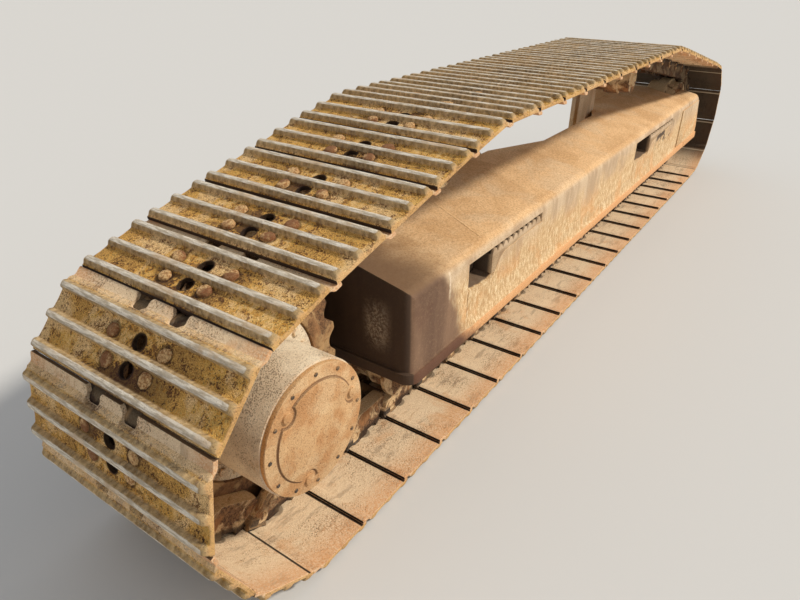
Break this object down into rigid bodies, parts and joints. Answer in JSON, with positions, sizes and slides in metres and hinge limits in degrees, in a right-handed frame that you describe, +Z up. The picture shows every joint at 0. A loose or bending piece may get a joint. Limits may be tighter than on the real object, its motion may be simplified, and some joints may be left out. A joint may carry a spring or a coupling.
{
  "type": "crawler track unit of an excavator",
  "caption": "One side's crawler unit of an excavator: side frame, final drive, idler, rollers and a closed loop of triple-grouser shoes.",
  "frame": {"origin": "on the ground, under the middle of the unit's length and width", "axes": "+X forwards from sprocket to idler, +Y to the middle of the machine, +Z up"},
  "size_m": [4.5812, 0.6, 0.956],
  "materials": {
    "track_steel": "worn bright on the crests, rust and dried clay between them",
    "frame_paint": "yellow paint under ochre dust, worn grey on the ridges",
    "drive_paint": "pitted paint under sandy dust",
    "rusty_steel": "brown to orange rust",
    "dark_steel": "dark oiled casting under dust"
  },
  "bodies": {
    "undercarriage": {"track": "track_steel", "side_frame": "frame_paint", "drive_bracket": "frame_paint", "front_fork_outer": "frame_paint", "front_fork_inner": "frame_paint", "leg_root_rear": "frame_paint", "leg_root_front": "frame_paint", "final_drive_drum": "drive_paint", "final_drive_cover": "drive_paint", "sprocket": "rusty_steel", "travel_motor": "dark_steel", "motor_guard": "frame_paint", "idler_shaft": "dark_steel", "idler_block_outer": "dark_steel", "idler_block_inner": "dark_steel", "idler_yoke": "dark_steel", "recoil_spring": "rusty_steel", "adjuster_cylinder": "dark_steel", "carrier_roller_rear": "rusty_steel", "carrier_roller_front": "rusty_steel", "carrier_bracket_rear": "frame_paint", "carrier_bracket_front": "frame_paint", "bottom_roller_1": "rusty_steel", "bottom_roller_2": "rusty_steel", "bottom_roller_3": "rusty_steel", "bottom_roller_4": "rusty_steel", "bottom_roller_5": "rusty_steel", "bottom_roller_6": "rusty_steel", "bottom_roller_7": "rusty_steel", "bottom_roller_8": "rusty_steel", "bottom_roller_9": "rusty_steel", "track_guide_rear": "frame_paint", "track_guide_front": "frame_paint", "step_rear": "frame_paint", "step_front": "frame_paint"},
    "idler_wheel": {"idler": "rusty_steel"}
  },
  "joints": [
    {"name": "idler_spin", "type": "hinge", "parent": "undercarriage", "child": "idler_wheel", "pos_m": [1.92501, 0, 0.37], "axis": [0, 1, 0], "continuous": true}
  ]
}
